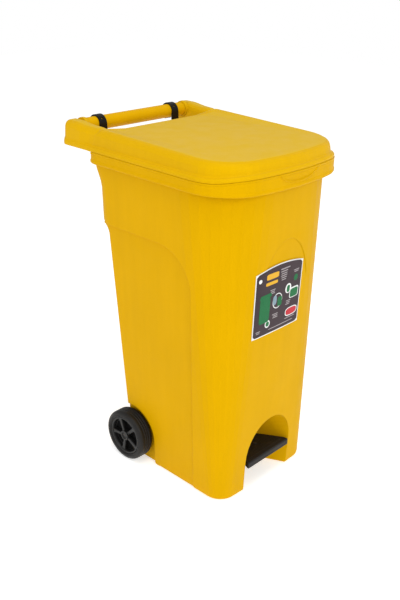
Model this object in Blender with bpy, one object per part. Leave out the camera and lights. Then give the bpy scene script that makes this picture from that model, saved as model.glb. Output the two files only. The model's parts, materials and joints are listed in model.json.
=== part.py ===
"""A yellow pedal bin of about 70 litres on wheels, with a hinged lid.

Metres, +Z up. The front faces -Y. The origin is on the floor, under the middle of the bin.
"""

import math

import bmesh
import bpy
from mathutils import Matrix, Vector

# Body
HALF_WIDTH_LOW, HALF_WIDTH_SLOPE = 0.1485, 0.0505
FRONT_LOW, FRONT_SLOPE = -0.2074, -0.0306
REAR_LOW, REAR_SLOPE = 0.0955, 0.0704
REAR_STEP_LOW, REAR_STEP_HIGH, REAR_STEP_Y = 0.547, 0.575, 0.149
FLARE_LOW, FLARE_HIGH, FLARE_DEPTH = 0.645, 0.697, 0.016
CORNER_FRONT_LOW, CORNER_FRONT_SLOPE = 0.0405, 0.1297
CORNER_REAR = 0.030
WALL = 0.003
FOOT_ROUND = ((0.0070, 0.0), (0.0042, 0.0010), (0.0018, 0.0030), (0.0004, 0.0060))
FLOOR_TOP = 0.078
WALL_LEAN = 0.04

# Rim band and the seam that the lid closes on
RIM_HALF_WIDTH, RIM_FRONT, RIM_REAR = 0.194, -0.243, 0.172
RIM_CORNER_FRONT, RIM_CORNER_REAR, RIM_LEAN = 0.106, 0.035, 0.17
RIM_LOW, RIM_WEB = 0.694, 0.0060
SEAM, SEAM_RISE = 0.7177, 0.0088
SEAM_RISE_START, SEAM_RISE_LENGTH = -0.165, 0.083
SEAM_GAP = 0.0009
GAP = 0.0003

# Side panels pressed into the walls
PANEL_DEPTH, PANEL_TOP, PANEL_FRONT, PANEL_CORNER = 0.004, 0.567, -0.122, 0.088
PANEL_FILL_END = 0.0155

# Thumb recess under the lid's front edge, and the shallow arch pressed above the label
THUMB_HALF, THUMB_DROP, THUMB_Z = 0.060, 0.023, 0.732
EMBOSS_HALF, EMBOSS_LOW, EMBOSS_TOP, EMBOSS_DEPTH = 0.079, 0.440, 0.584, 0.0013
EMBOSS_FADE_Z, EMBOSS_FADE = 0.475, 0.04

# Pedal niche: half-width and height of its arch at each depth behind the front wall
NICHE = ((-0.020, 0.0785, 0.165), (0.000, 0.0755, 0.163), (0.020, 0.0655, 0.155),
         (0.043, 0.0540, 0.142), (0.070, 0.0400, 0.123), (0.092, 0.0280, 0.102))
NICHE_LEG = 0.47

# Wheels
AXLE_Y, AXLE_Z, AXLE_RADIUS = 0.0745, 0.0607, 0.005
WHEEL_RADIUS, WHEEL_IN, WHEEL_OUT = 0.0605, 0.1415, 0.1800
TYRE_INNER = 0.0465
ARCH_RADIUS, ARCH_LIFT, ARCH_WALL_X = 0.069, 0.003, 0.136
ARCH_REAR_ANGLE = 75
HUB_RADIUS = 0.0115
SPOKES = 5

# Lid
LID_TOP = 0.757
LID_INSET = 0.0025
LID_REAR_LOW, LID_REAR_TOP, LID_CORNER_REAR = 0.168, 0.142, 0.010
LID_WALL = 0.003
LID_FLANGE = ((0.0, 0.0), (0.0, 0.0045), (0.0022, 0.0082), (0.0060, 0.0100), (0.0080, 0.0125))
RIDGE_START, RIDGE_SLOPE, RIDGE_MOST = -0.165, 0.0255, 0.0095
RIDGE_IN, RIDGE_OUT = 0.120, 0.175
EAR_REAR, EAR_INNER, EAR_SKIN, EAR_FADE = 0.2430, 0.148, 0.0004, 0.55
EAR_RISE, EAR_RISE_START, EAR_RISE_END = 0.0030, 0.180, 0.212
POCKET_OUTER, POCKET_TOP = 0.1785, 0.750
COLLAR = ((0.153, 0.0178), (0.1465, 0.0178), (0.1445, 0.0174), (0.1435, 0.0168))

# Handle bar, which is the lid's hinge shaft
BAR_Y, BAR_Z, BAR_RADIUS, BAR_BORE, BAR_HALF = 0.225, 0.7545, 0.0152, 0.012, 0.1505

# Hinge straps
STRAP_X, STRAP_TOP_HALF, STRAP_TAPER, STRAP_THICKNESS = 0.108, 0.0088, 0.058, 0.0034
STRAP_FOOT_LOW, STRAP_PAD_REAR = 0.652, 0.172
STRAP_SCREWS_Z = (0.664, 0.690)

# Pedal linkage
PIVOT_Y, PIVOT_Z, PIVOT_RADIUS = -0.070, 0.045, 0.004
LUG_RADIUS, LUG_ANGLE = 0.042, math.radians(45.0)
LUG_Y = BAR_Y - LUG_RADIUS * math.cos(LUG_ANGLE)
LUG_Z = BAR_Z - LUG_RADIUS * math.sin(LUG_ANGLE)
ROD_RADIUS, ROD_X = 0.003, 0.017
ROD_LOW_Y, ROD_LOW_Z = 0.125, 0.062
SLOT_FRONT, SLOT_REAR, SLOT_DROP, SLOT_HALF = 0.0085, 0.0052, 0.0009, 0.0043
ARM_HALF_WIDTH = 0.008
TREAD = 0.0765
PEDAL_SCREWS_Y = (-0.172, -0.150)
GUIDE_SCREWS_Z = (0.394, 0.426)

# Label
LABEL_LEFT, LABEL_RIGHT, LABEL_LOW, LABEL_TOP, LABEL_CROWN = -0.0905, 0.0560, 0.385, 0.527, 0.010

YELLOW = (0.86, 0.52, 0.012)
BLACK = (0.012, 0.011, 0.011)
STEEL = (0.55, 0.55, 0.54)


def clear_scene():
    for obj in list(bpy.data.objects):
        bpy.data.objects.remove(obj, do_unlink=True)


def material(name, colour, roughness, metallic=0.0):
    made = bpy.data.materials.new(name)
    made.use_nodes = True
    shader = made.node_tree.nodes["Principled BSDF"]
    shader.inputs["Base Color"].default_value = (*colour, 1.0)
    shader.inputs["Roughness"].default_value = roughness
    shader.inputs["Metallic"].default_value = metallic
    return made


def add_object(name, bm, finish=None, origin=(0.0, 0.0, 0.0)):
    """Makes an object from a bmesh in world coordinates, with its origin at the given point."""
    bmesh.ops.remove_doubles(bm, verts=bm.verts, dist=1e-6)
    bmesh.ops.recalc_face_normals(bm, faces=bm.faces)
    bmesh.ops.translate(bm, verts=bm.verts, vec=-Vector(origin))
    mesh = bpy.data.meshes.new(name)
    bm.to_mesh(mesh)
    bm.free()
    mesh.shade_smooth()
    mesh.set_sharp_from_angle(angle=math.radians(32))
    obj = bpy.data.objects.new(name, mesh)
    obj.location = origin
    bpy.context.scene.collection.objects.link(obj)
    if finish is None:
        obj.hide_render = True
        obj.display_type = "WIRE"
    else:
        mesh.materials.append(finish)
    return obj


def combine(obj, other, operation):
    modifier = obj.modifiers.new(other.name, "BOOLEAN")
    modifier.operation = operation
    modifier.object = other
    modifier.solver = "EXACT"
    return obj


def cut(obj, *cutters):
    for cutter in cutters:
        combine(obj, cutter, "DIFFERENCE")
    return obj


def join(obj, *others):
    for other in others:
        combine(obj, other, "UNION")
    return obj


def loft(rings, closed=False):
    """Skins a list of rings of equal length, capped at both ends unless the last ring meets the first."""
    bm = bmesh.new()
    loops = [[bm.verts.new(point) for point in ring] for ring in rings]
    pairs = list(zip(loops, loops[1:]))
    if closed:
        pairs.append((loops[-1], loops[0]))
    for low, high in pairs:
        for i in range(len(low)):
            j = (i + 1) % len(low)
            bm.faces.new((low[i], low[j], high[j], high[i]))
    if not closed:
        bm.faces.new(loops[0][::-1])
        bm.faces.new(loops[-1])
    return bm


def prism_x(outline, x_low, x_high):
    """Extrudes an outline of (y, z) points along X."""
    return loft([[(x, y, z) for y, z in outline] for x in (x_low, x_high)])


def box(low, high):
    bm = bmesh.new()
    size = [b - a for a, b in zip(low, high)]
    centre = [(a + b) / 2 for a, b in zip(low, high)]
    bmesh.ops.create_cube(bm, size=1.0, matrix=Matrix.Translation(centre) @ Matrix.Diagonal((*size, 1.0)))
    return bm


def turned_x(profile, centre, segments=40, closed=True):
    """Turns a profile of (x, radius) points about an axis along X; a closed profile makes a ring."""
    y, z = centre
    rings = []
    for x, radius in profile:
        angles = [2 * math.pi * i / segments for i in range(segments)]
        rings.append([(x, y + radius * math.cos(a), z + radius * math.sin(a)) for a in angles])
    return loft(rings, closed=closed)


def rod_x(x_low, x_high, centre, radius, segments=24):
    return turned_x([(x_low, radius), (x_high, radius)], centre, segments, closed=False)


def rod_y(y_low, y_high, centre, radius, segments=20):
    """A cylinder along Y; centre is (x, z)."""
    x, z = centre
    angles = [2 * math.pi * i / segments for i in range(segments)]
    circle = [(x + radius * math.cos(a), z + radius * math.sin(a)) for a in angles]
    return loft([[(u, y, w) for u, w in circle] for y in (y_low, y_high)])


def arc(centre, radius, start, end, steps):
    """Points on an arc in a plane, both ends included; angles in degrees."""
    angles = [math.radians(start + (end - start) * i / steps) for i in range(steps + 1)]
    return [(centre[0] + radius * math.cos(a), centre[1] + radius * math.sin(a)) for a in angles]


def smooth_step(value):
    t = min(max(value, 0.0), 1.0)
    return t * t * (3 - 2 * t)


def rounded_ring(half_width, front, rear, r_front, r_rear, lean, height):
    """A plan outline seen from above, anticlockwise: a slightly bowed front, round corners, straight sides.

    height is a number, or a function of y for an edge that isn't level.
    """
    front_radius = r_front + (half_width - r_front) / math.sin(lean)
    corner_y = front + front_radius - (front_radius - r_front) * math.cos(lean)
    lean_deg = math.degrees(lean)
    right = arc((0, front + front_radius), front_radius, -90, -90 + lean_deg, 4)[:-1]
    right += arc((half_width - r_front, corner_y), r_front, -90 + lean_deg, 0, 9)
    rear_start = rear - r_rear
    right += [(half_width, corner_y + (rear_start - corner_y) * i / 6) for i in range(1, 6)]
    right += arc((half_width - r_rear, rear_start), r_rear, 0, 90, 5)
    right += [((half_width - r_rear) * (3 - i) / 3, rear) for i in range(1, 4)]
    left = [(-x, y) for x, y in right[-2:0:-1]]
    level = height if callable(height) else (lambda _: height)
    return [(x, y, level(y)) for x, y in right + left]


def half_width_at(z):
    return HALF_WIDTH_LOW + HALF_WIDTH_SLOPE * z


def front_at(z):
    return FRONT_LOW + FRONT_SLOPE * z


def rear_at(z):
    if z <= REAR_STEP_LOW:
        return REAR_LOW + REAR_SLOPE * z
    low = REAR_LOW + REAR_SLOPE * REAR_STEP_LOW
    step = smooth_step((z - REAR_STEP_LOW) / (REAR_STEP_HIGH - REAR_STEP_LOW))
    flare = smooth_step((z - FLARE_LOW) / (FLARE_HIGH - FLARE_LOW))
    return low + (REAR_STEP_Y - low) * step + FLARE_DEPTH * flare


def wall_ring(z, inset=0.0, level=None):
    """The body's outline at height z, moved inwards by inset."""
    return rounded_ring(
        half_width_at(z) - inset,
        front_at(z) + inset,
        rear_at(z) - inset,
        CORNER_FRONT_LOW + CORNER_FRONT_SLOPE * z - inset,
        CORNER_REAR - inset,
        WALL_LEAN,
        z if level is None else level,
    )


def rim_ring(inset, level):
    return rounded_ring(
        RIM_HALF_WIDTH - inset,
        RIM_FRONT + inset,
        RIM_REAR - inset,
        RIM_CORNER_FRONT - inset,
        RIM_CORNER_REAR - inset,
        RIM_LEAN,
        level,
    )


def seam_at(y):
    return SEAM + SEAM_RISE * smooth_step((SEAM_RISE_START - y) / SEAM_RISE_LENGTH)


def seam_line(rise):
    """The seam's height as a function of y, moved up by rise."""
    return lambda y: seam_at(y) + rise


def body_shell():
    outer = [wall_ring(z, inset) for inset, z in FOOT_ROUND]
    outer += [wall_ring(z) for z in (0.0090, 0.547, 0.556, 0.566, 0.575, 0.645, 0.658, 0.671, 0.684)]
    outer += [wall_ring(0.697), wall_ring(0.697, 0.0, SEAM - RIM_WEB)]
    lip = ((0.0045, 0.0014), (0.0030, 0.0), (0.0012, 0.0010), (0.0, 0.0034), (0.0004, 0.0068))
    lip += ((0.0014, 0.0095),)
    band = [rim_ring(0.0045, SEAM - RIM_WEB)] + [rim_ring(inset, RIM_LOW + rise) for inset, rise in lip]
    shoulder = ((0.0016, 0.0026), (0.0024, 0.0008), (0.0042, 0.0))
    band += [rim_ring(inset, seam_line(-drop)) for inset, drop in shoulder]
    top = wall_ring(0.697, WALL - 0.001, seam_at)
    inner = [top] + [wall_ring(z, WALL) for z in (0.697, 0.684, 0.671, 0.658, 0.645, 0.575, 0.547)]
    inner += [wall_ring(FLOOR_TOP + 0.010, WALL), wall_ring(FLOOR_TOP + 0.003, WALL + 0.003)]
    inner += [wall_ring(FLOOR_TOP, WALL + 0.010)]
    return loft(outer + band + inner)


def panel_outline(grow, rear_edge):
    """The side panel's outline in (y, z): open at the back and the bottom, with one round corner.

    rear_edge lists the (y, z) points of its back edge, from the bottom up to the panel's top.
    """
    front, top, radius = PANEL_FRONT - grow, PANEL_TOP + grow, PANEL_CORNER + grow
    return rear_edge + arc((front + radius, top - radius), radius, 90, 180, 12) + [(front, rear_edge[0][1])]


def open_rear_edge(grow):
    """A straight back edge well behind the wall, for cutters that run out through it."""
    return [(0.2, -0.02), (0.2, PANEL_TOP + grow)]


def fill_rear_edge():
    """The back edge of the panel's inner skin: it meets the rear corner inside its wall."""
    heights = (0.05, REAR_STEP_LOW, 0.556, 0.566)
    last = rear_at(0.566) + (rear_at(0.575) - rear_at(0.566)) * (PANEL_TOP + WALL - 0.566) / 0.009
    edge = [(rear_at(z) - PANEL_FILL_END, z) for z in heights]
    return edge + [(last - PANEL_FILL_END, PANEL_TOP + WALL)]


def side_slab(outline, side, outer, inner):
    """A slab along the side wall between two depths inside its outer face."""
    rings = [[(side * (half_width_at(z) - depth), y, z) for y, z in outline] for depth in (outer, inner)]
    return loft(rings)


def arch_outline(half_width, top, low, steps=8):
    """An arch with straight legs and an elliptic head, as (x, z) points from the right foot to the left."""
    spring = top * NICHE_LEG
    foot = [(half_width + inset, z) for inset, z in FOOT_ROUND] if low < 0 else []
    mirrored = [(-x, z) for x, z in foot[::-1]]
    start = half_width + FOOT_ROUND[0][0] if foot else half_width
    head = [(half_width * math.cos(a), spring + (top - spring) * math.sin(a))
            for a in (math.pi * i / (2 * steps) for i in range(2 * steps + 1))]
    return [(start, low)] + foot + head + mirrored + [(-start, low)]


def niche_block(grow, low, first):
    """The niche's hollow, or with grow its outer skin, as arches set one behind the other."""
    rings = []
    for depth, half_width, top in NICHE[first:]:
        y = FRONT_LOW + depth
        rings.append([(x, y, z) for x, z in arch_outline(half_width + grow, top + grow, low)])
    if grow:
        depth, half_width, top = NICHE[-1]
        y = FRONT_LOW + depth + grow
        rings.append([(x, y, z) for x, z in arch_outline(half_width + grow, top + grow, low)])
    return loft(rings)


def tunnel_outline(grow, low, front, rear):
    """The lever tunnel in (y, z): its roof rises to the back, where the lever swings highest."""
    roof = 0.076 + grow
    return [(front, low), (front, roof), (-0.04, roof), (rear, roof + (rear + 0.04) * 0.42), (rear, low)]


def arch_block(grow, x_low, x_high, low, rear):
    """A wheel arch: round over the wheel's front and top, then level out to the given rear."""
    radius = ARCH_RADIUS + grow
    front = AXLE_Y - radius
    if low < 0:
        outline = [(front - FOOT_ROUND[0][0], low)] + [(front - inset, z) for inset, z in FOOT_ROUND]
    else:
        outline = [(front, low)]
    outline += arc((AXLE_Y, AXLE_Z + ARCH_LIFT), radius, 180, ARCH_REAR_ANGLE, 14)
    outline += [(rear, outline[-1][1]), (rear, low)]
    return prism_x(outline, x_low, x_high)


def thumb_cutter():
    """A D hanging from the seam at the front, with a sloping edge."""
    rings = []
    for y, grow in ((-0.26, 0.0030), (RIM_FRONT + 0.0006, 0.0006), (RIM_FRONT + 0.0030, -0.0006)):
        angles = [math.pi * (1 + i / 16) for i in range(17)]
        half, drop = THUMB_HALF + grow, THUMB_DROP + grow
        rings.append([(half * math.cos(a), y, THUMB_Z + drop * math.sin(a)) for a in angles])
    return loft(rings)


def emboss_point(across, up):
    """A point on the shallow arch above the label: shares from 0 to 1 give (x, z, depth share)."""
    angle = math.radians(8 + 80 * up)
    z = EMBOSS_LOW + (EMBOSS_TOP - EMBOSS_LOW) * math.sin(angle)
    x = EMBOSS_HALF * math.cos(angle) * (2 * across - 1)
    return x, z, min(1.0, (z - EMBOSS_FADE_Z) / EMBOSS_FADE)


def make_body(yellow):
    body = add_object("body", body_shell(), yellow)
    added, removed = [], []
    core = add_object("arch_core", loft([wall_ring(0.04, WALL / 2), wall_ring(0.20, WALL / 2)]))

    for side, tag in ((-1, "left"), (1, "right")):
        panel_fill = side_slab(panel_outline(WALL, fill_rear_edge()), side, WALL - 0.001, WALL + PANEL_DEPTH)
        added.append(add_object(f"panel_fill_{tag}", panel_fill))
        xs = sorted((side * (ARCH_WALL_X - WALL), side * (half_width_at(0.10) - WALL + 0.001)))
        skin = add_object(f"arch_skin_{tag}", arch_block(WALL, *xs, 0.05, 0.1499))
        added.append(combine(skin, core, "INTERSECT"))
        pad = box(
            (side * STRAP_X - 0.020, rear_at(0.64) - 0.002, STRAP_FOOT_LOW - 0.004),
            (side * STRAP_X + 0.020, STRAP_PAD_REAR, RIM_LOW + 0.018),
        )
        added.append(add_object(f"strap_pad_{tag}", pad))

        panel = side_slab(panel_outline(0.0, open_rear_edge(0.0)), side, -0.02, PANEL_DEPTH)
        removed.append(add_object(f"panel_cut_{tag}", panel))
        xs = sorted((side * ARCH_WALL_X, side * 0.2))
        removed.append(add_object(f"arch_cut_{tag}", arch_block(0.0, *xs, -0.02, 0.1469)))
        for z in STRAP_SCREWS_Z:
            hole = rod_y(rear_at(0.64) + 0.004, 0.19, (side * STRAP_X, z), 0.0021, 12)
            removed.append(add_object(f"strap_hole_{tag}_{int(z * 1000)}", hole))

    added.append(add_object("niche_skin", niche_block(WALL, 0.04, 1)))
    added.append(add_object("tunnel_skin", prism_x(tunnel_outline(WALL, 0.07, -0.10, 0.0975), -0.023, 0.023)))
    guide_pad = box((-0.006, rear_at(0.4) - 0.002, 0.386), (0.040, rear_at(0.42) + 0.006, 0.434))
    added.append(add_object("guide_pad", guide_pad))

    hollow = [wall_ring(0.0, WALL + FOOT_ROUND[0][0], -0.01)]
    hollow += [wall_ring(z + 0.0015, WALL + inset) for inset, z in FOOT_ROUND]
    hollow += [wall_ring(FLOOR_TOP - WALL, WALL)]
    underfloor = add_object("underfloor", loft(hollow))
    kept = [add_object("niche_wall", niche_block(WALL, -0.02, 0))]
    for side, tag in ((-1, "left"), (1, "right")):
        xs = sorted((side * (ARCH_WALL_X - WALL), side * 0.2))
        kept.append(add_object(f"arch_wall_{tag}", arch_block(WALL, *xs, -0.02, 0.1499)))
        slab = side_slab(panel_outline(WALL, open_rear_edge(WALL)), side, 0.0, WALL + PANEL_DEPTH)
        kept.append(add_object(f"panel_wall_{tag}", slab))
        xs = sorted((side * 0.026, side * 0.034))
        boss = box((xs[0], PIVOT_Y - 0.014, 0.026), (xs[1], PIVOT_Y + 0.014, 0.09))
        kept.append(add_object(f"pivot_boss_{tag}", boss))
        xs = sorted((side * 0.070, side * 0.078))
        kept.append(add_object(f"axle_rib_{tag}", box((xs[0], AXLE_Y - 0.012, 0.044), (xs[1], 0.12, 0.09))))
        xs = sorted((side * 0.092, side * 0.135))
        kept.append(add_object(f"foot_{tag}", box((xs[0], -0.20, -0.02), (xs[1], -0.155, 0.004))))
    cut(underfloor, *kept)

    removed.append(underfloor)
    removed.append(add_object("niche_cut", niche_block(0.0, -0.02, 0)))
    removed.append(add_object("tunnel_cut", prism_x(tunnel_outline(0.0, 0.012, -0.125, 0.12), -0.020, 0.020)))
    axle_hole = rod_x(-0.2, 0.2, (AXLE_Y, AXLE_Z), AXLE_RADIUS + 0.0003, 24)
    removed.append(add_object("axle_hole", axle_hole))
    pivot_hole = rod_x(-0.045, 0.045, (PIVOT_Y, PIVOT_Z), PIVOT_RADIUS + 0.0003, 20)
    removed.append(add_object("pivot_hole", pivot_hole))
    for z in GUIDE_SCREWS_Z:
        hole = rod_y(rear_at(0.4) + 0.001, 0.16, (ROD_X, z), 0.0016, 12)
        removed.append(add_object(f"guide_hole_{int(z * 1000)}", hole))
    relief = [(-0.140, -0.01), (-0.132, 0.003), (-0.010, 0.003), (-0.002, -0.01)]
    removed.append(add_object("side_relief", prism_x(relief, -0.2, 0.2)))
    removed.append(add_object("thumb_recess", thumb_cutter()))
    removed.append(add_object("front_emboss", front_sheet(emboss_point, 14, 14, (EMBOSS_DEPTH, -0.02))))

    join(body, *added)
    cut(body, *removed)
    return body


def lid_ring(inset, height, rear):
    return rounded_ring(
        RIM_HALF_WIDTH - LID_INSET - inset,
        RIM_FRONT + LID_INSET + inset,
        rear,
        RIM_CORNER_FRONT - LID_INSET - inset,
        LID_CORNER_REAR,
        RIM_LEAN,
        height,
    )


def ridge_at(y):
    return min(max(RIDGE_SLOPE * (y - RIDGE_START), 0.0), RIDGE_MOST)


def lid_low(rise):
    """The lid's lower edge as a function of y, moved up by rise."""
    return seam_line(SEAM_GAP + rise)


def lid_side_ring(inset, rise):
    return lid_ring(inset, lid_low(rise), skirt_y(SEAM + SEAM_GAP + rise))


def lid_top_ring(inset, rear, drop, ridge_share):
    """A ring on the lid's upper face. The side edges rise to the back by the ridge."""
    ring = []
    for x, y, _ in lid_ring(inset, 0.0, rear):
        side_share = smooth_step((abs(x) - RIDGE_IN) / (RIDGE_OUT - RIDGE_IN))
        ring.append((x, y, LID_TOP - drop + ridge_share * side_share * ridge_at(y)))
    return ring


def lid_shell():
    rear_mid = (LID_REAR_LOW + LID_REAR_TOP) / 2
    top = LID_REAR_TOP
    outer = [lid_side_ring(inset, rise) for inset, rise in LID_FLANGE]
    crest = ((0.0095, rear_mid, 0.0135, 1.0), (0.0115, top + 0.005, 0.0070, 1.0),
             (0.0150, top + 0.002, 0.0030, 1.0), (0.0195, top - 0.001, 0.0006, 1.0),
             (0.0240, top - 0.004, 0.0, 0.97), (0.0380, top - 0.012, 0.0, 0.6),
             (0.0560, top - 0.022, 0.0, 0.0))
    outer += [lid_top_ring(*row) for row in crest]
    under = ((LID_WALL, 0.0), (0.0032, 0.0040), (0.0095, 0.0080), (0.0115, 0.0105))
    base = SEAM + SEAM_GAP
    inner = [lid_ring(inset, lid_low(rise), skirt_y(base + rise) - LID_WALL) for inset, rise in under]
    crest = ((0.0130, rear_mid - LID_WALL, 0.0158, 1.0), (0.0150, top + 0.001, 0.0100, 1.0),
             (0.0185, top - 0.002, 0.0060, 1.0), (0.0240, top - 0.005, LID_WALL, 0.97),
             (0.0380, top - 0.012, LID_WALL, 0.6), (0.0560, top - 0.022, LID_WALL, 0.0))
    inner += [lid_top_ring(*row) for row in crest]
    return loft(inner[::-1] + outer)


def ear_rings(side):
    """An ear as sections set one behind the other along Y, closing to a rounded rear end.

    It starts sunk below the lid's top, and its flange fades towards the back.
    """
    outer_x = RIM_HALF_WIDTH - LID_INSET - EAR_SKIN
    rings = []
    ends = ((0.112, 0.0, 0.0110), (0.134, 0.0, 0.0035), (0.148, 0.0, 0.0), (0.162, 0.0, 0.0),
            (0.176, 0.0, 0.0), (0.191, 0.0, 0.0), (0.201, 0.0, 0.0), (0.212, 0.0, 0.0),
            (EAR_REAR - 0.0095, 0.0, 0.0),
            (EAR_REAR - 0.0050, 0.13, 0.0), (EAR_REAR - 0.0020, 0.38, 0.0), (EAR_REAR - 0.0004, 0.70, 0.0),
            (EAR_REAR, 1.0, 0.0))
    for y, close, sink in ends:
        shrink = close ** 1.4
        rise = EAR_RISE * smooth_step((y - EAR_RISE_START) / (EAR_RISE_END - EAR_RISE_START))
        top = LID_TOP + ridge_at(y) + rise - EAR_SKIN - sink - 0.006 * shrink
        low = SEAM + SEAM_GAP + 0.0002 + 0.009 * shrink
        inner, outer = EAR_INNER + 0.006 * close, outer_x - 0.006 * close
        fade = 1.0 - EAR_FADE * smooth_step((y - 0.150) / 0.045)
        narrow = 1.0 - 0.3 * close
        section = [(outer - inset * fade * narrow, low + rise_z * narrow) for inset, rise_z in LID_FLANGE]
        crest = ((0.0095, 0.0135), (0.0115, 0.0070), (0.0150, 0.0030), (0.0195, 0.0006), (0.0230, 0.0))
        step = LID_FLANGE[-1][0] * (1.0 - fade)
        section += [(outer - (inset - step) * narrow, top - drop * narrow) for inset, drop in crest]
        hollow_side = ((0.0110, 0.0), (0.0060, 0.0020), (0.0022, 0.0065), (0.0004, 0.0130), (0.0, 0.0200))
        section += [(inner + inset * narrow, top - drop * narrow) for inset, drop in hollow_side]
        section += [(inner, low)]
        rings.append([(side * x, y, z) for x, z in section])
    return rings


def make_lid(yellow):
    lid = add_object("lid", lid_shell(), yellow, (0.0, BAR_Y, BAR_Z))
    for side, tag in ((-1, "left"), (1, "right")):
        ear = add_object(f"ear_{tag}", loft(ear_rings(side)))
        collar = [(side * x, radius) for x, radius in COLLAR]
        collar = add_object(f"collar_{tag}", turned_x(collar, (BAR_Y, BAR_Z), 28, closed=False))
        join(lid, ear, collar)
        xs = sorted((side * (EAR_INNER + 0.004), side * POCKET_OUTER))
        pocket = add_object(f"ear_pocket_{tag}", box((xs[0], 0.132, 0.70), (xs[1], 0.203, POCKET_TOP)))
        xs = sorted((side * 0.13, side * (BAR_HALF + 0.0005)))
        socket = add_object(f"bar_socket_{tag}", rod_x(*xs, (BAR_Y, BAR_Z), BAR_RADIUS + 0.0003, 32))
        cut(lid, pocket, socket)
    return lid


def make_handle_bar(yellow):
    profile = [(-BAR_HALF, BAR_RADIUS), (BAR_HALF, BAR_RADIUS), (BAR_HALF, BAR_BORE), (-BAR_HALF, BAR_BORE)]
    return add_object("handle_bar", turned_x(profile, (BAR_Y, BAR_Z), 32), yellow, (0.0, BAR_Y, BAR_Z))


def strap_outline():
    """The strap's profile in (y, z): round the bar from below, over the top, then down to its foot."""
    inner = BAR_RADIUS + 0.0004
    outer = inner + STRAP_THICKNESS
    foot_in = STRAP_PAD_REAR + 0.0003
    foot_out = foot_in + STRAP_THICKNESS
    bend_top = BAR_Z - 0.016
    bend_low = bend_top - 0.024
    front_in, front_out = BAR_Y - outer, BAR_Y - inner

    def s_bend(start_y, end_y):
        return [(start_y + (end_y - start_y) * smooth_step(i / 6), bend_top + (bend_low - bend_top) * i / 6)
                for i in range(7)]

    outline = arc((BAR_Y, BAR_Z), outer, -75, 180, 22)
    outline += s_bend(front_in, foot_in)
    outline += [(foot_in, STRAP_FOOT_LOW), (foot_out, STRAP_FOOT_LOW)]
    outline += s_bend(front_out, foot_out)[::-1]
    outline += arc((BAR_Y, BAR_Z), inner, 180, -75, 22)
    return outline


def make_strap(side, tag, black):
    x = side * STRAP_X
    outline = [(y, z, STRAP_TOP_HALF + STRAP_TAPER * (BAR_Z + BAR_RADIUS - z)) for y, z in strap_outline()]
    strap = loft([[(x + way * half, y, z) for y, z, half in outline] for way in (-1, 1)])
    strap = add_object(f"hinge_strap_{tag}", strap, black)
    for z in STRAP_SCREWS_Z:
        cut(strap, add_object(f"strap_bore_{tag}_{int(z * 1000)}", rod_y(0.16, 0.19, (x, z), 0.0021, 12)))
    angle = math.radians(139)
    direction = Vector((0.0, math.cos(angle), math.sin(angle)))
    centre = Vector((x, BAR_Y, BAR_Z)) + direction * (BAR_RADIUS + 0.004)
    bm = bmesh.new()
    turn = Vector((0, 0, 1)).rotation_difference(direction).to_matrix().to_4x4()
    bmesh.ops.create_cone(bm, cap_ends=True, segments=12, radius1=0.0026, radius2=0.0026, depth=0.012,
                          matrix=Matrix.Translation(centre) @ turn)
    cut(strap, add_object(f"strap_eye_{tag}", bm))
    return strap


def screw_y(name, x, z, head_rear, length, finish, shank=0.0018, head=0.0042):
    """A pan-head screw along Y, with its head at the back."""
    profile = [(head_rear, head * 0.55), (head_rear - 0.0011, head * 0.92), (head_rear - 0.0024, head)]
    profile += [(head_rear - 0.0024, shank), (head_rear - length, shank)]
    rings = []
    for y, radius in profile:
        angles = [2 * math.pi * i / 16 for i in range(16)]
        rings.append([(x + radius * math.cos(a), y, z + radius * math.sin(a)) for a in angles])
    return add_object(name, loft(rings), finish)


def make_strap_screws(side, tag, steel):
    names = ("lower", "upper")
    for name, z in zip(names, STRAP_SCREWS_Z):
        rear = STRAP_PAD_REAR + 0.0003 + STRAP_THICKNESS + 0.0003 + 0.0024
        screw_y(f"strap_screw_{tag}_{name}", side * STRAP_X, z, rear, 0.018, steel)


def make_wheel(side, tag, black, rubber):
    a, b = side * WHEEL_IN, side * WHEEL_OUT
    centre = (AXLE_Y, AXLE_Z)
    origin = (side * (WHEEL_IN + WHEEL_OUT) / 2, AXLE_Y, AXLE_Z)

    def at(share, shift=0.0):
        return a + (b - a) * share + side * shift

    rim_in = TYRE_INNER - 0.0003
    profile = [(at(1, -0.003), rim_in), (at(0, 0.003), rim_in), (at(0, 0.003), rim_in - 0.004)]
    profile += [(at(0.62), rim_in - 0.005), (at(0.62), HUB_RADIUS), (at(0, 0.0005), HUB_RADIUS)]
    profile += [(at(0, 0.0005), AXLE_RADIUS + 0.0003), (at(1, -0.0065), AXLE_RADIUS + 0.0003)]
    profile += [(at(1, -0.0065), HUB_RADIUS - 0.003), (at(1, -0.001), HUB_RADIUS - 0.0015)]
    profile += [(at(1, -0.001), HUB_RADIUS), (at(1, -0.007), HUB_RADIUS + 0.002)]
    profile += [(at(1, -0.008), rim_in - 0.0075), (at(1, -0.003), rim_in - 0.004)]
    disc = add_object(f"wheel_disc_{tag}", turned_x(profile, centre, 32), black, origin)
    for index in range(SPOKES):
        turn = 360 / SPOKES * index + 90
        half_out, half_in = 24, 17
        outline = arc(centre, rim_in - 0.0085, turn - half_out, turn + half_out, 6)
        outline += arc(centre, HUB_RADIUS + 0.006, turn + half_in, turn - half_in, 3)
        xs = sorted((at(0.3), at(1, 0.01)))
        cut(disc, add_object(f"window_{tag}_{index}", prism_x(outline, *xs)))

    tread = WHEEL_RADIUS
    ring = [(at(0, 0.003), TYRE_INNER), (at(0), TYRE_INNER + 0.003), (at(0, 0.0005), tread - 0.006)]
    ring += [(at(0, 0.003), tread - 0.002), (at(0, 0.0075), tread), (at(1, -0.0075), tread)]
    ring += [(at(1, -0.003), tread - 0.002), (at(1, -0.0005), tread - 0.006), (at(1), TYRE_INNER + 0.003)]
    ring += [(at(1, -0.003), TYRE_INNER)]
    add_object(f"tyre_{tag}", turned_x(ring, centre, 40), rubber, origin)


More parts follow.
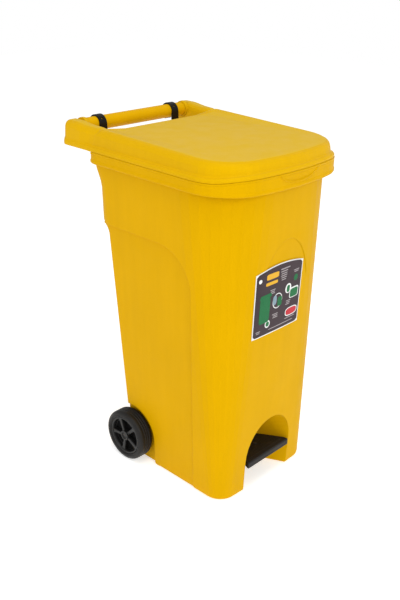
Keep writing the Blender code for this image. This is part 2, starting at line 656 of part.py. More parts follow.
def washer_x(name, x_low, x_high, centre, bore, radius, finish):
    profile = [(x_low, bore), (x_low, radius), (x_high, radius), (x_high, bore)]
    return add_object(name, turned_x(profile, centre, 16), finish)


def make_axle(steel, black):
    centre = (AXLE_Y, AXLE_Z)
    end = WHEEL_OUT - 0.0030
    add_object("axle", rod_x(-end, end, centre, AXLE_RADIUS, 24), steel)
    for side, tag in ((-1, "left"), (1, "right")):
        xs = sorted((side * (ARCH_WALL_X + 0.0003), side * (WHEEL_IN + 0.0002)))
        washer_x(f"axle_washer_{tag}", *xs, centre, AXLE_RADIUS + 0.0003, 0.0105, steel)
        xs = sorted((side * (WHEEL_OUT - 0.0062), side * (WHEEL_OUT - 0.0025)))
        washer_x(f"axle_cap_{tag}", *xs, centre, AXLE_RADIUS + 0.0003, 0.0078, black)


def niche_half_width(y):
    points = [(FRONT_LOW + depth, half_width) for depth, half_width, _ in NICHE]
    for (y0, w0), (y1, w1) in zip(points, points[1:]):
        if y <= y1:
            return w0 + (w1 - w0) * (y - y0) / (y1 - y0)
    return points[-1][1]


def make_pedal(black):
    """The tread: a plate that narrows with the niche, with a turned-down edge all round."""
    stations = (-0.213, -0.2115, -0.205, -0.190, -0.170, -0.150, -0.132)
    tops = [TREAD - drop for drop in (0.0040, 0.0010, 0.0, 0.0007, 0.0020, 0.0035, 0.0050)]
    rings = []
    for y, top in zip(stations, tops):
        half = niche_half_width(y) - 0.0055
        if y < -0.212:
            half -= 0.002
        low, edge = top - 0.0135, 0.0025
        if y < -0.212:
            low += 0.002
        rings.append([(half, y, low), (half, y, top - edge), (half - edge, y, top), (-half + edge, y, top),
                      (-half, y, top - edge), (-half, y, low)])
    pedal = add_object("pedal", loft(rings), black, (0.0, PIVOT_Y, PIVOT_Z))
    hollow = []
    hollow_tops = ((-0.2085, 0.0), (-0.190, 0.0007), (-0.170, 0.0020), (-0.150, 0.0035), (-0.120, 0.0065))
    for y, drop in hollow_tops:
        top = TREAD - drop
        half = niche_half_width(y) - 0.0085
        hollow.append([(half, y, 0.03), (half, y, top - 0.004), (-half, y, top - 0.004), (-half, y, 0.03)])
    cut(pedal, add_object("pedal_hollow", loft(hollow)))
    for y in PEDAL_SCREWS_Y:
        hole = rod_z(0.0, y, TREAD - 0.02, TREAD + 0.01, 0.0021)
        cut(pedal, add_object(f"pedal_hole_{int(-y * 1000)}", hole))
    return pedal


def rod_z(x, y, z_low, z_high, radius, segments=12):
    bm = bmesh.new()
    centre = (x, y, (z_low + z_high) / 2)
    bmesh.ops.create_cone(bm, cap_ends=True, segments=segments, radius1=radius, radius2=radius,
                          depth=z_high - z_low, matrix=Matrix.Translation(centre))
    return bm


def make_lever(black):
    """The arm under the floor: it passes over the axle and ends in a slot that lifts the rod."""
    top = [(-0.188, 0.0690), (-0.150, 0.0665), (-0.120, 0.0615), (-0.085, 0.0565), (-0.060, 0.0550),
           (0.045, 0.0750), (0.062, 0.0790), (0.093, 0.0790), (0.107, 0.0740)]
    low = [(0.110, 0.0530), (0.094, 0.0590), (0.085, 0.0690), (0.064, 0.0690), (0.050, 0.0645),
           (-0.055, 0.0395), (-0.085, 0.0400), (-0.150, 0.0560), (-0.188, 0.0620)]
    slot_z = ROD_LOW_Z - SLOT_DROP
    outline = top + arc((ROD_LOW_Y - 0.001, slot_z), 0.0098, 70, -70, 6) + low
    lever = add_object("pedal_lever", prism_x(outline, -ARM_HALF_WIDTH, ARM_HALF_WIDTH), black,
                       (0.0, PIVOT_Y, PIVOT_Z))
    hub = turned_x([(-0.0245, 0.0095), (0.0245, 0.0095)], (PIVOT_Y, PIVOT_Z), 24, closed=False)
    join(lever, add_object("lever_hub", hub))
    bore = rod_x(-0.05, 0.05, (PIVOT_Y, PIVOT_Z), PIVOT_RADIUS + GAP, 16)
    slot = arc((ROD_LOW_Y + SLOT_REAR, slot_z), SLOT_HALF, -90, 90, 6)
    slot += arc((ROD_LOW_Y - SLOT_FRONT, slot_z), SLOT_HALF, 90, 270, 6)
    cut(lever, add_object("lever_bore", bore), add_object("lever_slot", prism_x(slot, -0.05, 0.05)))
    for y in PEDAL_SCREWS_Y:
        cut(lever, add_object(f"lever_hole_{int(-y * 1000)}", rod_z(0.0, y, 0.0, 0.09, 0.0021)))
    return lever


def make_lever_screws(steel):
    """Two screws down through the tread into the arm; their heads sit on the tread."""
    for name, y, top in (("front", -0.172, TREAD - 0.0018), ("rear", -0.150, TREAD - 0.0035)):
        seat = top + 0.0003
        profile = [(seat + 0.0022, 0.0024), (seat + 0.0012, 0.0038), (seat, 0.0042), (seat, 0.0018)]
        profile.append((seat - 0.0155, 0.0018))
        rings = []
        for z, radius in profile:
            angles = [2 * math.pi * i / 16 for i in range(16)]
            rings.append([(radius * math.cos(a), y + radius * math.sin(a), z) for a in angles])
        add_object(f"pedal_screw_{name}", loft(rings), steel)


def make_pivot(steel):
    centre = (PIVOT_Y, PIVOT_Z)
    add_object("pivot_pin", rod_x(-0.040, 0.040, centre, PIVOT_RADIUS, 20), steel)
    for side, tag in ((-1, "left"), (1, "right")):
        xs = sorted((side * 0.0343, side * 0.0363))
        washer_x(f"pivot_clip_{tag}", *xs, centre, PIVOT_RADIUS + 0.0003, 0.0078, steel)


def make_push_rod(steel):
    """A steel rod behind the body. Both ends are bent to hooks that point the same way."""
    bend = 0.008
    points = [Vector((-0.0165, ROD_LOW_Y, ROD_LOW_Z)), Vector((ROD_X, ROD_LOW_Y, ROD_LOW_Z)),
              Vector((ROD_X, LUG_Y, LUG_Z)), Vector((-0.0165, LUG_Y, LUG_Z))]
    route = [points[0]]
    for before, corner, after in zip(points, points[1:], points[2:]):
        start = corner + (before - corner).normalized() * bend
        end = corner + (after - corner).normalized() * bend
        for i in range(7):
            t = i / 6
            route.append(start * (1 - t) ** 2 + corner * 2 * t * (1 - t) + end * t ** 2)
    route.append(points[-1])
    sides = 12
    rings = []
    side_axis = (points[2] - points[1]).normalized()
    for index, point in enumerate(route):
        ahead = route[min(index + 1, len(route) - 1)]
        behind = route[max(index - 1, 0)]
        tangent = (ahead - behind).normalized()
        flat = Vector((1, 0, 0)).cross(side_axis).normalized()
        normal = tangent.cross(flat).normalized()
        angles = [2 * math.pi * i / sides for i in range(sides)]
        rings.append([point + (normal * math.cos(a) + flat * math.sin(a)) * ROD_RADIUS for a in angles])
    rod = add_object("push_rod", loft(rings), steel, (0.0, LUG_Y, LUG_Z))
    for name, y, z in (("lower", ROD_LOW_Y, ROD_LOW_Z), ("upper", LUG_Y, LUG_Z)):
        washer_x(f"rod_nut_{name}", -0.0150, -0.0125, (y, z), ROD_RADIUS + 0.0003, 0.0070, steel)
    return rod


def skirt_y(z):
    """The lid's sloping rear face between its two lowest rings."""
    low, high = SEAM + SEAM_GAP + 0.002, LID_TOP - 0.0135
    return LID_REAR_LOW + ((LID_REAR_LOW + LID_REAR_TOP) / 2 - LID_REAR_LOW) * (z - low) / (high - low)


def bracket_screw_axes():
    """Where the two bracket screws enter the skirt, and the skirt's outward normal."""
    z = 0.7345
    slope = (skirt_y(z + 0.001) - skirt_y(z)) / 0.001
    normal = Vector((0.0, 1.0, -slope)).normalized()
    return [Vector((x, skirt_y(z), z)) for x in (-0.0115, 0.0115)], normal


def turned(profile, origin, axis, segments=16):
    """Turns a profile of (distance along the axis, radius) points into a closed solid."""
    across = axis.orthogonal().normalized()
    other = axis.cross(across)
    rings = []
    for distance, radius in profile:
        angles = [2 * math.pi * i / segments for i in range(segments)]
        middle = origin + axis * distance
        rings.append([middle + (across * math.cos(a) + other * math.sin(a)) * radius for a in angles])
    return loft(rings)


def make_lid_bracket(black, lid):
    """The bracket on the lid's rear skirt that the rod's upper hook turns in."""
    low, high, thick = 0.7270, 0.7420, 0.0028
    gap = 0.0005
    plate = [(skirt_y(low) + gap, low), (skirt_y(high) + gap, high), (skirt_y(high) + gap + thick, high),
             (skirt_y(low) + gap + thick, low)]
    bracket = add_object("lid_bracket", prism_x(plate, -0.0165, 0.0165), black, (0.0, BAR_Y, BAR_Z))
    inner = gap + thick * 0.4
    arm = [(skirt_y(0.7275) + inner, 0.7275), (skirt_y(0.7400) + inner, 0.7400)]
    arm += arc((LUG_Y, LUG_Z), 0.0080, 75, -105, 10)
    join(bracket, add_object("bracket_arm", prism_x(arm, -0.0060, 0.0060)))
    bore = rod_x(-0.02, 0.02, (LUG_Y, LUG_Z), ROD_RADIUS + GAP, 16)
    cut(bracket, add_object("bracket_bore", bore))
    points, normal = bracket_screw_axes()
    for point, tag in zip(points, ("left", "right")):
        hole = turned([(-0.006, 0.0016), (0.012, 0.0016)], point, normal, 12)
        hole = add_object(f"bracket_hole_{tag}", hole)
        cut(bracket, hole)
        cut(lid, hole)
    return bracket


def make_bracket_screws(steel):
    points, normal = bracket_screw_axes()
    for point, tag in zip(points, ("left", "right")):
        seat = 0.0037
        profile = [(-0.0045, 0.0013), (seat, 0.0013), (seat, 0.0030), (seat + 0.0010, 0.0027)]
        profile.append((seat + 0.0018, 0.0016))
        add_object(f"bracket_screw_{tag}", turned(profile, point, normal), steel)


def make_guide(black):
    """A loop on the rear wall that keeps the rod from swinging out."""
    z_mid = 0.410
    pad = rear_at(0.42) + 0.006 + 0.0003
    along = (z_mid - ROD_LOW_Z) / (LUG_Z - ROD_LOW_Z)
    rod_y_here = ROD_LOW_Y + (LUG_Y - ROD_LOW_Y) * along
    def slab(half_width, front, rear, half_height):
        low = (ROD_X - half_width, front, z_mid - half_height)
        return box(low, (ROD_X + half_width, rear, z_mid + half_height))

    plate = add_object("rod_guide", slab(0.0125, pad, pad + 0.0030, 0.022), black)
    loop = slab(0.0090, pad + 0.0020, rod_y_here + 0.0085, 0.006)
    hole = slab(0.0055, pad + 0.0031, rod_y_here + 0.0055, 0.020)
    join(plate, add_object("guide_loop", loop))
    cut(plate, add_object("guide_gap", hole))
    for z in GUIDE_SCREWS_Z:
        cut(plate, add_object(f"guide_bore_{int(z * 1000)}", rod_y(0.11, 0.16, (ROD_X, z), 0.0016, 12)))
    return plate, pad


def front_sheet(point_at, rows, columns, depths):
    """A closed sheet on the front wall between two depths inside its outer face.

    point_at takes the shares across and up, and gives x, z and the share of the first depth there.
    """
    bm = bmesh.new()
    layers = []
    for index, depth in enumerate(depths):
        grid = []
        for row in range(rows + 1):
            points = [point_at(column / columns, row / rows) for column in range(columns + 1)]
            shares = [share if index == 0 else 1.0 for _, _, share in points]
            grid.append([bm.verts.new((x, front_wall_y(x, z) + depth * share, z))
                         for (x, z, _), share in zip(points, shares)])
        layers.append(grid)
    first, last = layers
    for row in range(rows):
        for column in range(columns):
            for grid in layers:
                bm.faces.new((grid[row][column], grid[row][column + 1], grid[row + 1][column + 1],
                              grid[row + 1][column]))
    edge = [(0, c) for c in range(columns)] + [(r, columns) for r in range(rows)]
    edge += [(rows, c) for c in range(columns, 0, -1)] + [(r, 0) for r in range(rows, 0, -1)]
    for (r0, c0), (r1, c1) in zip(edge, edge[1:] + edge[:1]):
        bm.faces.new((first[r0][c0], first[r1][c1], last[r1][c1], last[r0][c0]))
    return bm


def label_point(across, up):
    """A point on the label: shares from 0 to 1 give (x, z, 1)."""
    top = LABEL_TOP + LABEL_CROWN * (1 - (2 * across - 1) ** 2)
    return LABEL_LEFT + (LABEL_RIGHT - LABEL_LEFT) * across, LABEL_LOW + (top - LABEL_LOW) * up, 1.0


def make_label(paper):
    """A thin plate on the front wall, with an arched upper edge."""
    return add_object("label", front_sheet(label_point, 6, 14, (-0.0004, -0.0010)), paper)


def front_wall_y(x, z):
    """The front wall's outer face at x and z, from the same arcs as its outline."""
    half_width, front = half_width_at(z), front_at(z)
    radius = CORNER_FRONT_LOW + CORNER_FRONT_SLOPE * z
    front_radius = radius + (half_width - radius) / math.sin(WALL_LEAN)
    if abs(x) <= front_radius * math.sin(WALL_LEAN):
        return front + front_radius - math.sqrt(front_radius ** 2 - x ** 2)
    corner_y = front + front_radius - (front_radius - radius) * math.cos(WALL_LEAN)
    return corner_y - math.sqrt(radius ** 2 - (abs(x) - half_width + radius) ** 2)


def main():
    clear_scene()
    yellow = material("yellow_plastic", YELLOW, 0.38)
    black = material("black_plastic", BLACK, 0.45)
    rubber = material("black_tyre", (0.018, 0.018, 0.019), 0.6)
    steel = material("zinc_steel", STEEL, 0.35, 1.0)
    paper = material("label_film", (0.11, 0.07, 0.08), 0.3)
    make_body(yellow)
    lid = make_lid(yellow)
    make_handle_bar(yellow)
    make_axle(steel, black)
    for side, tag in ((-1, "left"), (1, "right")):
        make_strap(side, tag, black)
        make_strap_screws(side, tag, steel)
        make_wheel(side, tag, black, rubber)
    make_pedal(black)
    make_lever(black)
    make_lever_screws(steel)
    make_pivot(steel)
    make_push_rod(steel)
    make_lid_bracket(black, lid)
    make_bracket_screws(steel)
    _, pad = make_guide(black)
    for name, z in zip(("lower", "upper"), GUIDE_SCREWS_Z):
        screw_y(f"guide_screw_{name}", ROD_X, z, pad + 0.0030 + 0.0003 + 0.0024, 0.011, steel, 0.0013, 0.0030)
    make_label(paper)


main()
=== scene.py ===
"""A yellow pedal bin with a hinged lid, a carrying bar and wheels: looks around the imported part."""

import json
import math

import bmesh
import bpy
from mathutils import Matrix, Vector
from mathutils.bvhtree import BVHTree


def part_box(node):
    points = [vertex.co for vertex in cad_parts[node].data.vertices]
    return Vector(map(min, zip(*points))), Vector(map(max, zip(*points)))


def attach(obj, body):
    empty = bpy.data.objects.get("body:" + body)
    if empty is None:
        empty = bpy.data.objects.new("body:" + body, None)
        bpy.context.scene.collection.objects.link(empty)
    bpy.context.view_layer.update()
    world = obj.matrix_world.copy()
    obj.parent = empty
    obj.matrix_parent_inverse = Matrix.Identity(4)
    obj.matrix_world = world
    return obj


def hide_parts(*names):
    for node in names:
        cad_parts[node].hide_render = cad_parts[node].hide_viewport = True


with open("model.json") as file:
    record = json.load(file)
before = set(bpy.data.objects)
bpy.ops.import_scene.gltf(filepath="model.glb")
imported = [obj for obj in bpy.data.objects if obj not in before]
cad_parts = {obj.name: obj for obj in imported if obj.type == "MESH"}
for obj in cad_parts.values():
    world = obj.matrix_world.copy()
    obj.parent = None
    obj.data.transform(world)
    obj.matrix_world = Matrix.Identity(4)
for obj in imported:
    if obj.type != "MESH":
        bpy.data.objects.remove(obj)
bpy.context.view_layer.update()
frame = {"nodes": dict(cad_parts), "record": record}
nodes = frame["nodes"]

YELLOW = (0.650, 0.352, 0.0004)
LID_YELLOW = (0.670, 0.378, 0.0010)
# painted sheen: the paler yellow that up-facing lid faces are mixed towards, standing in for light from above
PAINTED_SHEEN_YELLOW = (0.70, 0.445, 0.010)
FLOOR = 6.0
SPOKES, FIRST_SPOKE = 5, math.radians(64)
RIM_SHARE = 0.765
RIM_HALF, RIM_FRONT, RIM_CORNER, RIM_BOW = 0.194, -0.243, 0.106, 0.17
SEAM, SEAM_RISE, SEAM_RISE_START, SEAM_RISE_LENGTH = 0.7177, 0.0088, -0.165, 0.083
THUMB_HALF, THUMB_DROP, THUMB_Z = 0.060, 0.023, 0.732
UPSTAND_REAR = 0.150
UPSTAND = ((0.0016, -0.0030), (0.0013, -0.0002), (0.0020, 0.0005), (0.0061, 0.0005), (0.0061, 0.0030),
           (0.0066, 0.0034), (0.0074, 0.0034), (0.0074, -0.0030))
BEAD_GAP, BEAD_BELOW_SEAM, BEAD_SUNK = 0.0022, 0.0035, 0.0016
BEAD = ((-0.0018, -0.0006), (-0.0013, 0.0008), (0.0, 0.0015), (0.0013, 0.0008), (0.0018, -0.0006))
SIDES = ((-1, "left"), (1, "right"))


# ---------------------------------------------------------------- camera, stage and light
def make_camera():
    azimuth, elevation, roll = (math.radians(a) for a in (-47.0505, 24.1995, 1.6089))
    target = Vector((-0.0015, 0.010, 0.3739))
    distance, lens = 1.8325, 48.473
    right = Vector((math.cos(azimuth), math.sin(azimuth), 0.0))
    back = Vector((math.sin(azimuth) * math.cos(elevation), -math.cos(azimuth) * math.cos(elevation),
                   math.sin(elevation)))
    up = back.cross(right)
    turned_right = right * math.cos(roll) + up * math.sin(roll)
    turned_up = up * math.cos(roll) - right * math.sin(roll)
    data = bpy.data.cameras.new("camera")
    data.lens = lens
    data.sensor_width = 36.0
    camera = bpy.data.objects.new("camera", data)
    camera.matrix_world = (Matrix.Translation(target + back * distance)
                           @ Matrix((turned_right, turned_up, back)).transposed().to_4x4())
    bpy.context.scene.collection.objects.link(camera)
    bpy.context.scene.camera = camera


def make_stage():
    """A white floor, and a room that is white to the camera and dimmer as a light."""
    mesh = bpy.data.meshes.new("floor")
    corners = [(-FLOOR, -FLOOR, 0), (FLOOR, -FLOOR, 0), (FLOOR, FLOOR, 0), (-FLOOR, FLOOR, 0)]
    mesh.from_pydata(corners, [], [(0, 1, 2, 3)])
    floor = bpy.data.objects.new("floor", mesh)
    bpy.context.scene.collection.objects.link(floor)
    paper = bpy.data.materials.new("floor_paper")
    paper.use_nodes = True
    shader = paper.node_tree.nodes["Principled BSDF"]
    shader.inputs["Base Color"].default_value = (0.9, 0.9, 0.9, 1)
    shader.inputs["Roughness"].default_value = 0.9
    shader.inputs["Specular IOR Level"].default_value = 0.0
    shader.inputs["Emission Color"].default_value = (1, 1, 1, 1)
    shader.inputs["Emission Strength"].default_value = 0.5
    mesh.materials.append(paper)
    world = bpy.data.worlds.new("studio")
    world.use_nodes = True
    tree = world.node_tree
    background = tree.nodes["Background"]
    background.inputs["Color"].default_value = (1, 1, 1, 1)
    background.inputs["Strength"].default_value = 1.0
    room = tree.nodes.new("ShaderNodeBackground")
    room.inputs["Color"].default_value = (1, 1, 1, 1)
    room.inputs["Strength"].default_value = 0.62
    path = tree.nodes.new("ShaderNodeLightPath")
    mix = tree.nodes.new("ShaderNodeMixShader")
    tree.links.new(path.outputs["Is Camera Ray"], mix.inputs[0])
    tree.links.new(room.outputs[0], mix.inputs[1])
    tree.links.new(background.outputs[0], mix.inputs[2])
    tree.links.new(mix.outputs[0], tree.nodes["World Output"].inputs["Surface"])
    bpy.context.scene.world = world


def area_light(name, location, target, size, power, colour=(1, 1, 1)):
    data = bpy.data.lights.new(name, "AREA")
    data.shape = "RECTANGLE"
    data.size, data.size_y = size
    data.energy = power
    data.color = colour
    light = bpy.data.objects.new(name, data)
    light.location = location
    light.rotation_euler = (Vector(target) - Vector(location)).to_track_quat("-Z", "Y").to_euler()
    bpy.context.scene.collection.objects.link(light)


# ---------------------------------------------------------------- finishes
class Graph:
    """A short way to lay down shader nodes."""

    def __init__(self, name):
        self.material = bpy.data.materials.new(name)
        self.material.use_nodes = True
        self.tree = self.material.node_tree
        self.shader = self.tree.nodes["Principled BSDF"]
        self.coords = self.tree.nodes.new("ShaderNodeTexCoord").outputs["Object"]

    def feed(self, socket, value):
        if isinstance(value, bpy.types.NodeSocket):
            self.tree.links.new(value, socket)
        else:
            socket.default_value = value

    def noise(self, scale, detail=3.0, stretch=(1, 1, 1), rough=0.5):
        mapping = self.tree.nodes.new("ShaderNodeMapping")
        mapping.inputs["Scale"].default_value = stretch
        self.feed(mapping.inputs["Vector"], self.coords)
        made = self.tree.nodes.new("ShaderNodeTexNoise")
        self.feed(made.inputs["Vector"], mapping.outputs["Vector"])
        made.inputs["Scale"].default_value = scale
        made.inputs["Detail"].default_value = detail
        made.inputs["Roughness"].default_value = rough
        return made.outputs["Fac"]

    def ramp(self, value, *stops):
        made = self.tree.nodes.new("ShaderNodeValToRGB")
        made.color_ramp.elements[0].position, made.color_ramp.elements[1].position = stops[0][0], stops[-1][0]
        made.color_ramp.elements[0].color = (*stops[0][1], 1)
        made.color_ramp.elements[1].color = (*stops[-1][1], 1)
        for position, colour in stops[1:-1]:
            made.color_ramp.elements.new(position).color = (*colour, 1)
        self.feed(made.inputs["Fac"], value)
        return made.outputs["Color"]

    def span(self, value, low, high, out_low, out_high):
        made = self.tree.nodes.new("ShaderNodeMapRange")
        for key, number in zip(("From Min", "From Max", "To Min", "To Max"), (low, high, out_low, out_high)):
            made.inputs[key].default_value = number
        self.feed(made.inputs["Value"], value)
        return made.outputs["Result"]

    def math(self, operation, first, second):
        made = self.tree.nodes.new("ShaderNodeMath")
        made.operation = operation
        self.feed(made.inputs[0], first)
        self.feed(made.inputs[1], second)
        return made.outputs["Value"]

    def mix(self, share, first, second):
        made = self.tree.nodes.new("ShaderNodeMix")
        made.data_type = "RGBA"
        self.feed(made.inputs[0], share)
        self.feed(made.inputs[6], first)
        self.feed(made.inputs[7], second)
        return made.outputs[2]

    def rounded(self, radius):
        """The normal with edges softened over this radius, and a mask that is 1 at an edge."""
        bevel = self.tree.nodes.new("ShaderNodeBevel")
        bevel.samples = 4
        bevel.inputs["Radius"].default_value = radius
        geometry = self.tree.nodes.new("ShaderNodeNewGeometry")
        dot = self.tree.nodes.new("ShaderNodeVectorMath")
        dot.operation = "DOT_PRODUCT"
        self.feed(dot.inputs[0], bevel.outputs["Normal"])
        self.feed(dot.inputs[1], geometry.outputs["True Normal"])
        return bevel.outputs["Normal"], self.span(dot.outputs["Value"], 0.98, 0.80, 0.0, 1.0)

    def bump(self, height, distance, strength, normal):
        made = self.tree.nodes.new("ShaderNodeBump")
        made.inputs["Distance"].default_value = distance
        made.inputs["Strength"].default_value = strength
        self.feed(made.inputs["Height"], height)
        self.feed(made.inputs["Normal"], normal)
        return made.outputs["Normal"]


def scaled(colour, factor):
    return tuple(channel * factor for channel in colour)


def moulded(name, base, rough, grain_size, grain_depth, edge, worn, spread=0.045, specular=0.3, tint=None,
            painted_top_sheen=0.0):
    """Moulded plastic: cloudy colour, faint flow streaks, a fine grain and paler edges.

    The last argument sets how far faces that look up are mixed towards a paler yellow: a painted sheen, light
    from above painted into the colour.
    """
    g = Graph(name)
    cloud = g.noise(7.0, 4.0)
    streak = g.noise(6.0, 5.0, (9, 9, 0.7), 0.6)
    both = g.math("ADD", g.math("MULTIPLY", cloud, 0.55), g.math("MULTIPLY", streak, 0.45))
    colour = g.ramp(both, (0.30, scaled(base, 1 - spread)), (0.50, base), (0.70, scaled(base, 1 + spread)))
    speck = g.ramp(g.noise(260.0, 2.0), (0.30, (0.93, 0.93, 0.93)), (0.55, (1, 1, 1)))
    spotted = g.tree.nodes.new("ShaderNodeMix")
    spotted.data_type = "RGBA"
    spotted.blend_type = "MULTIPLY"
    spotted.inputs[0].default_value = 0.25
    g.feed(spotted.inputs[6], colour)
    g.feed(spotted.inputs[7], speck)
    normal, mask = g.rounded(edge)
    patchy = g.math("MULTIPLY", mask, g.span(g.noise(45.0, 3.0), 0.35, 0.65, 0.1, 0.75))
    g.feed(g.shader.inputs["Base Color"], g.mix(patchy, spotted.outputs[2], (*worn, 1)))
    soft = g.span(g.noise(30.0, 4.0), 0.3, 0.7, rough - 0.05, rough + 0.06)
    scuffs = g.span(g.noise(14.0, 6.0, (1, 1, 3.5), 0.7), 0.55, 0.72, 0.0, 0.08)
    scuffed = g.math("ADD", soft, scuffs)
    g.feed(g.shader.inputs["Roughness"], g.math("ADD", scuffed, g.math("MULTIPLY", mask, -0.05)))
    g.shader.inputs["Specular IOR Level"].default_value = specular
    if tint:
        g.shader.inputs["Specular Tint"].default_value = (*tint, 1)
    # painted sheen: faces that look up are paled, as if lit from above
    if painted_top_sheen:
        geometry = g.tree.nodes.new("ShaderNodeNewGeometry")
        split = g.tree.nodes.new("ShaderNodeSeparateXYZ")
        g.feed(split.inputs[0], geometry.outputs["Normal"])
        up = g.span(split.outputs["Z"], 0.93, 0.985, 0.0, painted_top_sheen)
        pale = g.mix(up, g.shader.inputs["Base Color"].links[0].from_socket, (*PAINTED_SHEEN_YELLOW, 1))
        g.feed(g.shader.inputs["Base Color"], pale)
    peel = g.noise(grain_size * 0.22, 2.0)
    grain = g.noise(grain_size, 3.0, (1, 1, 1), 0.6)
    height = g.math("ADD", g.math("MULTIPLY", grain, 0.4), g.math("MULTIPLY", peel, 0.6))
    g.feed(g.shader.inputs["Normal"], g.bump(height, grain_depth, 0.2, normal))
    return g.material


def plated(name, base, rough, metallic=1.0):
    """Plated steel: a blotchy passivated coat with drawn lines, and a painted highlight that brightens every
    edge.
    """
    g = Graph(name)
    colour = g.ramp(g.noise(60.0, 5.0), (0.3, scaled(base, 0.72)), (0.7, scaled(base, 1.12)))
    normal, mask = g.rounded(0.0006)
    # painted highlight: edges are mixed towards a brighter copy of the steel
    painted_edge_highlight = (*scaled(base, 1.3), 1)
    g.feed(g.shader.inputs["Base Color"], g.mix(g.math("MULTIPLY", mask, 0.6), colour, painted_edge_highlight))
    drawn = g.noise(300.0, 4.0, (0.2, 1, 1))
    g.feed(g.shader.inputs["Roughness"], g.span(drawn, 0.3, 0.7, rough - 0.07, rough + 0.1))
    g.shader.inputs["Metallic"].default_value = metallic
    g.feed(g.shader.inputs["Normal"], g.bump(g.noise(900.0, 2.0, (0.15, 1, 1)), 0.0002, 0.25, normal))
    return g.material


def printed(name, base, rough=0.38, spread=0.05):
    """Printed film: a faint dot grain, a few scuffs in its gloss and a painted highlight along its edges."""
    g = Graph(name)
    low, high = scaled(base, 1 - spread), scaled(base, 1 + spread)
    colour = g.ramp(g.noise(900.0, 2.0), (0.35, low), (0.65, high))
    normal, mask = g.rounded(0.0003)
    # painted highlight: the film's edges are mixed towards a brighter copy of its colour
    painted_edge_highlight = (*scaled(base, 1.2), 1)
    g.feed(g.shader.inputs["Base Color"], g.mix(g.math("MULTIPLY", mask, 0.3), colour, painted_edge_highlight))
    g.feed(g.shader.inputs["Roughness"], g.span(g.noise(80.0, 5.0), 0.3, 0.7, rough - 0.06, rough + 0.08))
    g.shader.inputs["Specular IOR Level"].default_value = 0.16
    g.feed(g.shader.inputs["Normal"], g.bump(g.noise(500.0, 2.0), 0.0002, 0.2, normal))
    return g.material


def make_finishes():
    grey = (0.045, 0.043, 0.042)
    return {
        "yellow_body": moulded("yellow_body", YELLOW, 0.47, 1100.0, 0.0006, 0.0022, (0.72, 0.43, 0.004),
                               specular=0.05, tint=(1.0, 0.72, 0.03)),
        "yellow_lid": moulded("yellow_lid", LID_YELLOW, 0.44, 900.0, 0.0006, 0.0022, (0.74, 0.46, 0.006),
                              specular=0.10, tint=(1.0, 0.75, 0.12), painted_top_sheen=0.75),
        "yellow_bar": moulded("yellow_bar", scaled(YELLOW, 1.08), 0.50, 1300.0, 0.0007, 0.0012,
                              (0.72, 0.42, 0.004), specular=0.07, tint=(1.0, 0.72, 0.06)),
        "black_plastic": moulded("black_plastic", (0.0042, 0.0036, 0.0032), 0.36, 1000.0, 0.0007, 0.0008,
                                 (0.022, 0.020, 0.019), spread=0.3, specular=0.2),
        "black_tread": moulded("black_tread", (0.0080, 0.0066, 0.0055), 0.52, 700.0, 0.0012, 0.0014, grey,
                               spread=0.35, specular=0.25),
        "black_wheel": moulded("black_wheel", (0.0105, 0.0098, 0.0092), 0.40, 900.0, 0.0006, 0.0010, grey,
                               spread=0.3),
        # painted shade: a deeper, duller black than the wheel, for the web sunk between the spokes
        "painted_shade_black": moulded("painted_shade_black", (0.0022, 0.0020, 0.0019), 0.7, 600.0, 0.0008, 0.0008,
                              (0.01, 0.01, 0.01), spread=0.4, specular=0.1),
        "tyre": moulded("tyre", (0.0060, 0.0050, 0.0044), 0.50, 500.0, 0.0014, 0.0012, (0.03, 0.028, 0.027),
                        spread=0.35, specular=0.3),
        "steel": plated("steel", (0.52, 0.52, 0.50), 0.32),
        "dark_steel": plated("dark_steel", (0.035, 0.033, 0.031), 0.5, 0.6),
        "label_white": printed("label_white", (0.78, 0.78, 0.77)),
        "label_dark": printed("label_dark", (0.040, 0.023, 0.029), spread=0.12),
        "label_green": printed("label_green", (0.006, 0.135, 0.040), spread=0.2),
        "label_yellow": printed("label_yellow", (0.72, 0.38, 0.02)),
        "label_red": printed("label_red", (0.50, 0.022, 0.035)),
        "label_grey": printed("label_grey", (0.34, 0.30, 0.31), spread=0.1),
        "label_blue": printed("label_blue", (0.22, 0.30, 0.36), spread=0.2),
    }


def paint(obj, material):
    obj.data.materials.clear()
    obj.data.materials.append(material)


def paint_nodes(finishes):
    slots = {row["node"]: row["material_slot"] for row in frame["record"]["subparts"]}
    special = {"handle_bar": "yellow_bar", "pedal": "black_tread", "label": "label_white",
               "axle": "dark_steel", "pedal_screw_front": "dark_steel", "pedal_screw_rear": "dark_steel"}
    for name, node in nodes.items():
        paint(node, finishes[special.get(name, slots[name])])


# ---------------------------------------------------------------- mesh helpers
def make_piece(name, bm, material, body, slot_name, *replaced, angle=35.0):
    bmesh.ops.recalc_face_normals(bm, faces=bm.faces)
    mesh = bpy.data.meshes.new(name)
    bm.to_mesh(mesh)
    bm.free()
    mesh.shade_smooth()
    mesh.set_sharp_from_angle(angle=math.radians(angle))
    obj = bpy.data.objects.new(name, mesh)
    bpy.context.scene.collection.objects.link(obj)
    mesh.materials.append(material)
    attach(obj, body)
    if replaced:
        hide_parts(*replaced)
    return obj


def soften(obj, width, segments=3, angle=30.0):
    bevel = obj.modifiers.new("edges", "BEVEL")
    bevel.width = width
    bevel.segments = segments
    bevel.limit_method = "ANGLE"
    bevel.angle_limit = math.radians(angle)
    obj.modifiers.new("shading", "WEIGHTED_NORMAL").keep_sharp = True


